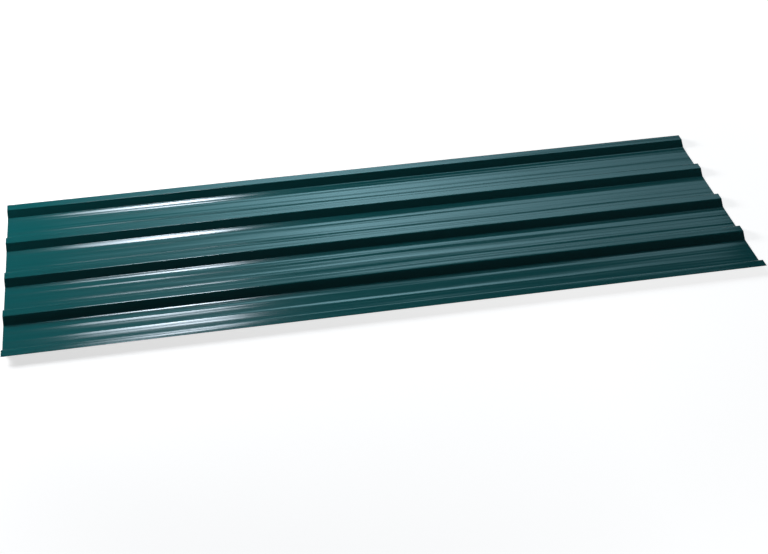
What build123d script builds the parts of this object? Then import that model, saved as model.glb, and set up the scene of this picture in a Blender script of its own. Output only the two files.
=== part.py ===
from build123d import *
import math
import os

# Box-rib roofing sheet, cold rolled from one strip of pre-painted galvanised steel.
# Millimetres. X runs along the ribs, Y across the sheet, Z up from the level floor.
# The sheet lies as it is used, with its ribs standing up and its pans on the floor.

# The cut sheet
sheet_length = 1290.0
sheet_gauge = 0.3

# The five ribs: crowns with a sloping web on each side
rib_count = 5
rib_pitch = 105.2
rib_crown = 17.0
rib_web_run = 12.0
rib_depth = 11.0
rib_bend = 2.0

# The two stiffening swages pressed up in each pan between two ribs
swage_width = 12.5
swage_slope = 5.0
swage_depth = 1.2
swage_bend = 5.0
swage_from_middle = 14.2

# The far edge is cut square to its sloping web, so the upper face stands out past the lower one
web_angle = math.atan2(rib_depth, rib_web_run)
edge_overhang = sheet_gauge * math.sin(web_angle)
ribs_span = (rib_count - 1) * rib_pitch
sheet_width = ribs_span + rib_crown + rib_web_run + edge_overhang
first_rib = rib_crown / 2 - sheet_width / 2


def rib_middle(number):
    """Y of the middle of a rib's crown, counted from 0 at the near edge."""
    return first_rib + number * rib_pitch


def crown_points(number):
    """The two corners of a rib's crown, on the sheet's underside."""
    middle = rib_middle(number)
    return [(middle - rib_crown / 2, rib_depth), (middle + rib_crown / 2, rib_depth)]


def swage_points(middle):
    """The four corners of one swage, on the sheet's underside."""
    foot = (swage_width + swage_slope) / 2
    shoulder = (swage_width - swage_slope) / 2
    return [
        (middle - foot, 0),
        (middle - shoulder, swage_depth),
        (middle + shoulder, swage_depth),
        (middle + foot, 0),
    ]


def pan_points(number):
    """The pan that follows a rib: its foot, two swages, and the foot of the next rib."""
    foot = rib_crown / 2 + rib_web_run
    middle = rib_middle(number) + rib_pitch / 2
    near_swage = swage_points(middle - swage_from_middle)
    far_swage = swage_points(middle + swage_from_middle)
    near_foot = (rib_middle(number) + foot, 0)
    far_foot = (rib_middle(number + 1) - foot, 0)
    return [near_foot, *near_swage, *far_swage, far_foot]


def pan_bends():
    """The bend radii at the corners of one pan, in the order of its points."""
    return [rib_bend] + [swage_bend] * 8 + [rib_bend]


# The underside from the near edge, which ends on a crown that the next sheet's rib laps over,
# to the far edge, where the last rib has both of its webs and laps over the sheet beyond
underside = crown_points(0)
bends = [rib_bend]
for rib in range(1, rib_count):
    underside += pan_points(rib - 1) + crown_points(rib)
    bends += pan_bends() + [rib_bend, rib_bend]
underside.append((rib_middle(rib_count - 1) + rib_crown / 2 + rib_web_run, 0))

with BuildPart() as corrugated_sheet:
    with BuildSketch(Plane.YZ):
        with BuildLine():
            FilletPolyline(*underside, radius=bends)
            offset(amount=sheet_gauge, side=Side.LEFT)
        make_face()
    extrude(amount=sheet_length / 2, both=True)

corrugated_sheet.part.label = "corrugated_sheet"

os.makedirs("parts", exist_ok=True)
export_step(corrugated_sheet.part, "parts/corrugated_sheet.step")
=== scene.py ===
import math

import bmesh
import bpy
from mathutils import Matrix, Vector, noise


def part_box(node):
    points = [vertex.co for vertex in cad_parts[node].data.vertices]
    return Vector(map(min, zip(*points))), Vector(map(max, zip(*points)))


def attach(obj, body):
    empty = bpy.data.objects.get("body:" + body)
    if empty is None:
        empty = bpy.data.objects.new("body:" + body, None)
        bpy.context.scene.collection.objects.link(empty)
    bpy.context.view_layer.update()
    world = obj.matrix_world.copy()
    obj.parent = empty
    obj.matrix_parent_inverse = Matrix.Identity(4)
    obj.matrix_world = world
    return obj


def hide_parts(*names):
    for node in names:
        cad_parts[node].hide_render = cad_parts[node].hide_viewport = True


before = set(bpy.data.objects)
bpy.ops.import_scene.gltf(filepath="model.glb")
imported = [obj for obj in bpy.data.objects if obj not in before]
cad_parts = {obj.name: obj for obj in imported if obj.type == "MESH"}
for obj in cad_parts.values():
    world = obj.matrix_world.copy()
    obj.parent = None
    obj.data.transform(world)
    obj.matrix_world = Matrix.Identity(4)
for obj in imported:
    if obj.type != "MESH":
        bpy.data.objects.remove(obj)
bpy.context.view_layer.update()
sheetLow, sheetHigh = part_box("corrugated_sheet")

mm = 0.001


def hexColour(text):
    parts = [int(text[i:i + 2], 16) / 255 for i in (1, 3, 5)]
    linear = [c / 12.92 if c <= 0.04045 else ((c + 0.055) / 1.055) ** 2.4 for c in parts]
    return (*linear, 1.0)


def addNode(tree, kind, settings=None, links=None):
    node = tree.nodes.new(kind)
    for name, value in (settings or {}).items():
        if isinstance(name, int) or name in node.inputs:
            node.inputs[name].default_value = value
        else:
            setattr(node, name, value)
    for name, source in (links or {}).items():
        tree.links.new(source, node.inputs[name])
    return node


def newMaterial(name):
    material = bpy.data.materials.new(name)
    material.use_nodes = True
    material.node_tree.nodes.clear()
    return material, material.node_tree


# Polyester coil coating on galvanised steel: baked on flat strip before rolling, so it is even,
# smooth and semi-gloss, with long faint lines where the rolls pressed it
coating = {
    "dark": "#094a4d",
    "light": "#0b5659",
    "roughness": 0.11,
    "ior": 1.5,
    "lineLength": 1600.0,       # the rolls' lines, in mm
    "lineSpacing": 4.0,
    "lineHeight": 0.1,
    "lineStrength": 0.2,
    "lineDetail": 3.0,
    "lineRoughness": 0.55,
}


def makeCoatedSteel():
    material, tree = newMaterial("polyesterCoatedSteel")
    place = addNode(tree, "ShaderNodeTexCoord").outputs["Object"]
    scale = (1 / (coating["lineLength"] * mm), 1 / (coating["lineSpacing"] * mm), 1.0)
    rollLines = addNode(tree, "ShaderNodeMapping", {"Scale": scale}, {"Vector": place})
    lines = addNode(
        tree, "ShaderNodeTexNoise",
        {"Scale": 1.0, "Detail": coating["lineDetail"], "Roughness": coating["lineRoughness"]},
        {"Vector": rollLines.outputs["Vector"]},
    )
    colour = addNode(
        tree, "ShaderNodeMix",
        {"data_type": "RGBA", 6: hexColour(coating["dark"]), 7: hexColour(coating["light"])},
    )
    tree.links.new(lines.outputs["Fac"], colour.inputs["Factor"])
    bump = addNode(
        tree, "ShaderNodeBump",
        {"Strength": coating["lineStrength"], "Distance": coating["lineHeight"] * mm},
        {"Height": lines.outputs["Fac"]},
    )
    shader = addNode(
        tree, "ShaderNodeBsdfPrincipled",
        {"Roughness": coating["roughness"], "IOR": coating["ior"]},
        {"Base Color": colour.outputs[2], "Normal": bump.outputs["Normal"]},
    )
    addNode(tree, "ShaderNodeOutputMaterial", links={"Surface": shader.outputs["BSDF"]})
    return material


# Grey backing coat: a thin wash of primer paint on the hidden side, flatter than the face
backing = {"colour": "#8d9492", "roughness": 0.45, "ior": 1.5}


def makeBackingCoat():
    material, tree = newMaterial("greyBackingCoat")
    shader = addNode(
        tree, "ShaderNodeBsdfPrincipled",
        {"Base Color": hexColour(backing["colour"]), "Roughness": backing["roughness"],
         "IOR": backing["ior"]},
    )
    addNode(tree, "ShaderNodeOutputMaterial", links={"Surface": shader.outputs["BSDF"]})
    return material


# Sheared steel edge: bare zinc-coated metal that dulled to a dark grey at once
cutEdge = {"colour": "#3c4646", "metallic": 0.6, "roughness": 0.55}


def makeShearedEdge():
    material, tree = newMaterial("shearedSteelEdge")
    shader = addNode(
        tree, "ShaderNodeBsdfPrincipled",
        {"Base Color": hexColour(cutEdge["colour"]), "Metallic": cutEdge["metallic"],
         "Roughness": cutEdge["roughness"]},
    )
    addNode(tree, "ShaderNodeOutputMaterial", links={"Surface": shader.outputs["BSDF"]})
    return material


# The rolled sheet, in mm. Its section is the frame's. From "pressed" on, the values are how the
# thin steel strays from that section after rolling and handling. They are judged from the
# streaks of light in the pans. Pans count from the near edge, and places in a pan run from its
# far foot towards the near edge.
rolled = {
    "ribs": 5,
    "pitch": 105.2,
    "crown": 17.0,
    "webRun": 12.0,
    "depth": 11.0,
    "bend": 2.0,
    "swageWidth": 12.5,
    "swageSlope": 5.0,
    "swageDepth": 1.2,
    "swageBend": 5.0,
    "swageFromMiddle": 14.2,
    "gauge": 0.3,
    "bendSegments": 4,
    "alongStep": 15.0,      # spacing of the mesh lines along the sheet
    "acrossStep": 1.6,      # and across it
    "pressed": (0.06, 0.12, 0.12, 0.15),    # share of swageDepth that each pan's swages have
    # the strip beside the far foot leans up to it: its width and its rise, pan by pan
    "leans": ((4.0, 0.145), (13.0, 0.44), (16.5, 1.02), (19.0, 1.31)),
    # low ridges, pan by pan: place, half-width, and height at the left and the right end.
    # Those that lie outside their pan tilt the crown beside it.
    "ridges": (
        ((17.0, 3.0, 0.17, -0.04), (42.0, 4.5, 0.25, 0.0)),
        ((93.0, 8.0, 0.11, 0.11),),
        ((93.0, 8.0, 0.06, 0.06),),
        ((-14.0, 8.0, 0.12, 0.12), (45.0, 5.0, 0.16, 0.0)),
    ),
    "edgeDroop": 0.12,      # the free edge crown hangs down a little
    "droopWidth": 12.0,
    # waves that run along the sheet: height, length, width, and where their noise is read
    "waves": ((0.16, 260.0, 30.0, 1.3), (0.06, 220.0, 4.5, 7.7)),
    "waveLift": 0.7,        # share of each height that keeps the waves off the floor
}


def ribMiddle(number):
    middleOfAll = (sheetLow.y + sheetHigh.y) / 2 / mm
    span = (rolled["ribs"] - 1) * rolled["pitch"] + rolled["crown"] + rolled["webRun"]
    return middleOfAll + rolled["crown"] / 2 - span / 2 + number * rolled["pitch"]


def panCorners(number, ribBeyond):
    # the near foot, two swages and the far foot of a pan, from the middle of the rib beyond it
    half = rolled["crown"] / 2
    foot = (rolled["swageWidth"] + rolled["swageSlope"]) / 2
    shoulder = (rolled["swageWidth"] - rolled["swageSlope"]) / 2
    rise = rolled["swageDepth"] * rolled["pressed"][number]
    corners = [(ribBeyond - rolled["pitch"] + half + rolled["webRun"], 0, rolled["bend"])]
    for side in (-1, 1):
        swage = ribBeyond - rolled["pitch"] / 2 + side * rolled["swageFromMiddle"]
        for away, height in ((-foot, 0), (-shoulder, rise), (shoulder, rise), (foot, 0)):
            corners.append((swage + away, height, rolled["swageBend"]))
    corners.append((ribBeyond - half - rolled["webRun"], 0, rolled["bend"]))
    return corners


def sectionCorners():
    # y, z and bend radius of every corner, from the near edge to the far one
    half = rolled["crown"] / 2
    corners = []
    for number in range(rolled["ribs"]):
        middle = ribMiddle(number)
        if number:
            corners += panCorners(number - 1, middle)
        corners.append((middle - half, rolled["depth"], rolled["bend"]))
        corners.append((middle + half, rolled["depth"], rolled["bend"]))
    corners.append((middle + half + rolled["webRun"], 0, rolled["bend"]))
    return corners


def roundCorners(bm, verts, radius):
    # a bevel's offset runs along the edges, so each corner's comes from its turn and its radius
    for vert in verts:
        edges = vert.link_edges
        if len(edges) < 2:
            continue
        ways = [(e.other_vert(vert).co - vert.co).normalized() for e in edges]
        turn = math.pi - ways[0].angle(ways[1])
        bmesh.ops.bevel(
            bm, geom=[vert], offset=radius[vert] * mm * math.tan(turn / 2), offset_type="OFFSET",
            segments=rolled["bendSegments"], profile=0.5, affect="VERTICES", material=-1,
        )


def drawSection(bm):
    radius, verts = {}, []
    for y, z, bend in sectionCorners():
        vert = bm.verts.new((sheetLow.x, y * mm, z * mm))
        radius[vert] = bend
        verts.append(vert)
    for near, far in zip(verts, verts[1:]):
        bm.edges.new((near, far))
    roundCorners(bm, verts, radius)
    step = rolled["acrossStep"] * mm
    for edge in list(bm.edges):
        cuts = int(edge.calc_length() / step)
        if cuts:
            bmesh.ops.subdivide_edges(bm, edges=[edge], cuts=cuts)


def rollOut(bm):
    length = sheetHigh.x - sheetLow.x
    made = bmesh.ops.extrude_edge_only(bm, edges=list(bm.edges))["geom"]
    moved = [v for v in made if isinstance(v, bmesh.types.BMVert)]
    bmesh.ops.translate(bm, verts=moved, vec=(length, 0, 0))
    along = [e for e in bm.edges if abs(e.verts[0].co.x - e.verts[1].co.x) > length / 2]
    cuts = int(length / mm / rolled["alongStep"])
    bmesh.ops.subdivide_edges(bm, edges=along, cuts=cuts, use_grid_fill=True)
    bmesh.ops.recalc_face_normals(bm, faces=bm.faces)
    if sum(f.normal.z * f.calc_area() for f in bm.faces) < 0:
        bmesh.ops.reverse_faces(bm, faces=bm.faces)


def easeOff(share):
    # 1 at 0, 0 at 1, with a straight stretch between two short curves
    share = min(1.0, max(0.0, share))
    curve = 0.25
    if share < curve:
        return 1 - share * share / (2 * curve * (1 - curve))
    if share > 1 - curve:
        return (1 - share) ** 2 / (2 * curve * (1 - curve))
    return 1 - (share - curve / 2) / (1 - curve)


def strayFrom(x, y):
    height = 0.0
    for wave, waveLength, waveWidth, seed in rolled["waves"]:
        spot = Vector((x / waveLength, y / waveWidth, seed))
        height += wave * (rolled["waveLift"] + noise.noise(spot))
    half = rolled["crown"] / 2 + rolled["webRun"]
    along = (x * mm - sheetLow.x) / (sheetHigh.x - sheetLow.x)
    for number, (width, rise) in enumerate(rolled["leans"]):
        inPan = ribMiddle(number + 1) - half - y
        if inPan > 0:
            height += rise * easeOff(inPan / width)
        else:
            height += rise * easeOff(-inPan / rolled["webRun"])     # gone at the crown
        for place, reach, left, right in rolled["ridges"][number]:
            ridge = left + (right - left) * along
            height += ridge * math.exp(-((inPan - place) / reach) ** 2)
    fromEdge = y - sheetLow.y / mm
    height -= rolled["edgeDroop"] * math.exp(-(fromEdge / rolled["droopWidth"]) ** 2)
    return height


def makeSheet(materials):
    bm = bmesh.new()
    drawSection(bm)
    print("section drawn,", len(bm.verts), "points")
    rollOut(bm)
    for vert in bm.verts:
        vert.co.z += strayFrom(vert.co.x / mm, vert.co.y / mm) * mm
    for edge in bm.edges:
        edge.smooth = not edge.is_boundary      # the cut edges stay square
    for face in bm.faces:
        face.smooth = True
    mesh = bpy.data.meshes.new("corrugatedSheetSkin")
    bm.to_mesh(mesh)
    bm.free()
    piece = bpy.data.objects.new("coated_sheet", mesh)
    bpy.context.scene.collection.objects.link(piece)
    for material in materials:
        mesh.materials.append(material)
    shell = piece.modifiers.new("gauge", "SOLIDIFY")
    shell.thickness = rolled["gauge"] * mm
    shell.offset = 1.0
    shell.use_even_offset = True
    shell.material_offset = 1           # the backing coat
    shell.material_offset_rim = 2       # the sheared edge
    print("sheet skin", len(mesh.vertices), "points,", len(mesh.polygons), "faces")
    return piece


# Pale paper on the studio floor, in metres. Rays from the camera and from gloss see its own white,
# and the sheet gets only the light that it throws back.
floorPaper = {
    "halfSide": 12.0,
    "gap": 0.0002,          # under the sheet, so that the two never touch
    "colour": "#bcbcbd",
    "roughness": 0.9,
    # the light falls off to the right, and the paper's own white makes up for it
    "whitens": {"From Min": -0.9, "From Max": 0.3, "To Min": 0.62, "To Max": 0.82},
    # away from the sheet it is white by itself, so that it looks the same from all sides
    "farAway": {"From Min": 0.7, "From Max": 1.5},
}


def makePaleFloor():
    material, tree = newMaterial("paleFloor")
    seen = addNode(tree, "ShaderNodeLightPath")
    direct = addNode(
        tree, "ShaderNodeMath", {"operation": "MAXIMUM"},
        {0: seen.outputs["Is Camera Ray"], 1: seen.outputs["Is Glossy Ray"]},
    )
    either = addNode(
        tree, "ShaderNodeMath", {"operation": "MAXIMUM"},
        {0: direct.outputs[0], 1: seen.outputs["Is Transmission Ray"]},
    )
    place = addNode(tree, "ShaderNodeTexCoord").outputs["Object"]
    split = addNode(tree, "ShaderNodeSeparateXYZ", links={"Vector": place})
    white = addNode(
        tree, "ShaderNodeMapRange", floorPaper["whitens"], {"Value": split.outputs["X"]},
    )
    away = addNode(tree, "ShaderNodeVectorMath", {"operation": "LENGTH"}, {"Vector": place})
    outer = addNode(
        tree, "ShaderNodeMapRange",
        {"interpolation_type": "SMOOTHSTEP", **floorPaper["farAway"]},
        {"Value": away.outputs["Value"]},
    )
    level = addNode(
        tree, "ShaderNodeMix", {"data_type": "FLOAT", 3: 1.0},
        {0: outer.outputs["Result"], 2: white.outputs["Result"]},
    )
    glow = addNode(
        tree, "ShaderNodeMath", {"operation": "MULTIPLY"},
        {0: either.outputs[0], 1: level.outputs[0]},
    )
    shader = addNode(
        tree, "ShaderNodeBsdfPrincipled",
        {"Base Color": hexColour(floorPaper["colour"]), "Roughness": floorPaper["roughness"],
         "Specular IOR Level": 0.0, "Emission Color": hexColour("#ffffff")},
        {"Emission Strength": glow.outputs[0]},
    )
    addNode(tree, "ShaderNodeOutputMaterial", links={"Surface": shader.outputs["BSDF"]})
    return material


def layFloor():
    bm = bmesh.new()
    bmesh.ops.create_grid(bm, x_segments=1, y_segments=1, size=floorPaper["halfSide"])
    mesh = bpy.data.meshes.new("floor")
    bm.to_mesh(mesh)
    bm.free()
    mesh.materials.append(makePaleFloor())
    floor = bpy.data.objects.new("floor", mesh)
    bpy.context.scene.collection.objects.link(floor)
    floor.location.z = sheetLow.z - floorPaper["gap"]
    print("floor laid")


# White round the horizon, dark overhead, as in a studio with a white sweep and a black ceiling.
# The heights run from 0 at the horizon to 1 overhead.
room = {"white": "#ffffff", "whiteBelow": 0.06, "dark": "#303335", "darkAbove": 0.22}


def makeRoom():
    world = bpy.data.worlds.new("studioRoom")
    bpy.context.scene.world = world
    world.use_nodes = True
    tree = world.node_tree
    tree.nodes.clear()
    place = addNode(tree, "ShaderNodeTexCoord")
    split = addNode(tree, "ShaderNodeSeparateXYZ", links={"Vector": place.outputs["Generated"]})
    ramp = addNode(tree, "ShaderNodeValToRGB", links={"Fac": split.outputs["Z"]})
    low, high = ramp.color_ramp.elements
    low.position = room["whiteBelow"]
    low.color = hexColour(room["white"])
    high.position = room["darkAbove"]
    high.color = hexColour(room["dark"])
    glow = addNode(
        tree, "ShaderNodeBackground", {"Strength": 1.0}, {"Color": ramp.outputs["Color"]},
    )
    addNode(tree, "ShaderNodeOutputWorld", links={"Surface": glow.outputs["Background"]})
    print("room painted")


# The side lamp lights the sheet from behind its left end. The strip box and the pale panel
# stand far behind it, where the pans mirror them. Each glows unevenly, as a softbox does:
# "across" is its brightness from left to right as the camera sees it, "up" from bottom to top.
# Places and sizes are in metres.
lamps = {
    "sideLamp": {
        "place": (-1.45, 0.95, 0.73), "aim": (-0.4, 0.0, 0.0), "wide": 0.8, "high": 0.5,
        "glow": 35.0, "colour": "#ffffff", "across": (1, 1), "up": (1, 1),
    },
    "stripBox": {
        "place": (-0.47, 6.43, 6.30), "aim": (-0.47, 0.05, 0.0), "wide": 1.36, "high": 1.1,
        "glow": 42.0, "colour": "#e6f2ff",
        "across": (0.2, 0.42, 0.75, 1, 0.9, 0), "up": (0.15, 0.9, 1, 0.5),
    },
    "palePanel": {
        "place": (0.8, 4.1, 2.6), "aim": (0.0, 0.0, 0.0), "wide": 3.6, "high": 0.96,
        "glow": 5.9, "colour": "#b8ebfa",
        "across": (0.05, 0.24, 0.62, 1, 0.74, 0.46, 0.32, 0.24),
        "up": (0.15, 0.35, 0.6, 0.87, 0.6, 0.0),
    },
}


def hangLamp(name, lamp):
    light = bpy.data.lights.new(name, "AREA")
    light.shape = "RECTANGLE"
    light.size = lamp["wide"]
    light.size_y = lamp["high"]
    light.energy = lamp["glow"] * math.pi * lamp["wide"] * lamp["high"]
    light.color = hexColour(lamp["colour"])[:3]
    light.use_nodes = True
    tree = light.node_tree
    tree.nodes.clear()
    place = addNode(tree, "ShaderNodeNewGeometry").outputs["Parametric"]
    split = addNode(tree, "ShaderNodeSeparateXYZ", links={"Vector": place})
    ramps = []
    # the camera sees a lamp from its front, where left and right change places
    for axis, stops in (("X", lamp["across"][::-1]), ("Y", lamp["up"])):
        ramp = addNode(tree, "ShaderNodeValToRGB", links={"Fac": split.outputs[axis]})
        marks = ramp.color_ramp.elements
        while len(marks) < len(stops):
            marks.new(0.5)
        for number in range(len(stops)):
            marks[number].position = number / (len(stops) - 1)
        for number, level in enumerate(stops):
            marks[number].color = (level, level, level, 1)
        ramps.append(ramp.outputs["Color"])
    both = addNode(tree, "ShaderNodeMath", {"operation": "MULTIPLY"}, {0: ramps[0], 1: ramps[1]})
    glow = addNode(tree, "ShaderNodeEmission", links={"Strength": both.outputs[0]})
    addNode(tree, "ShaderNodeOutputLight", links={"Surface": glow.outputs["Emission"]})
    piece = bpy.data.objects.new(name, light)
    bpy.context.scene.collection.objects.link(piece)
    piece.location = lamp["place"]
    way = Vector(lamp["aim"]) - Vector(lamp["place"])
    piece.rotation_euler = way.to_track_quat("-Z", "Y").to_euler()
    piece.visible_camera = False
    print(name, "hung")


cameraView = {
    "place": (-0.3562, -2.0379, 1.4691),
    "aim": (-0.0048, -0.1177, 0.0),
    "roll": -0.34,          # degrees
    "lens": 66.64,
    "sensor": 36.0,
    "farthest": 100.0,
}


def setCamera():
    camera = bpy.data.cameras.new("camera")
    camera.lens = cameraView["lens"]
    camera.sensor_width = cameraView["sensor"]
    camera.clip_end = cameraView["farthest"]
    piece = bpy.data.objects.new("camera", camera)
    bpy.context.scene.collection.objects.link(piece)
    place, aim = Vector(cameraView["place"]), Vector(cameraView["aim"])
    turn = (aim - place).to_track_quat("-Z", "Y").to_matrix().to_4x4()
    roll = Matrix.Rotation(math.radians(cameraView["roll"]), 4, "Z")
    piece.matrix_world = Matrix.Translation(place) @ turn @ roll
    bpy.context.scene.camera = piece
    print("camera set")


sheet = makeSheet([makeCoatedSteel(), makeBackingCoat(), makeShearedEdge()])
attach(sheet, "root")
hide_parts("corrugated_sheet")

layFloor()
makeRoom()
for name, lamp in lamps.items():
    hangLamp(name, lamp)
setCamera()
bpy.context.scene.view_settings.view_transform = "Standard"
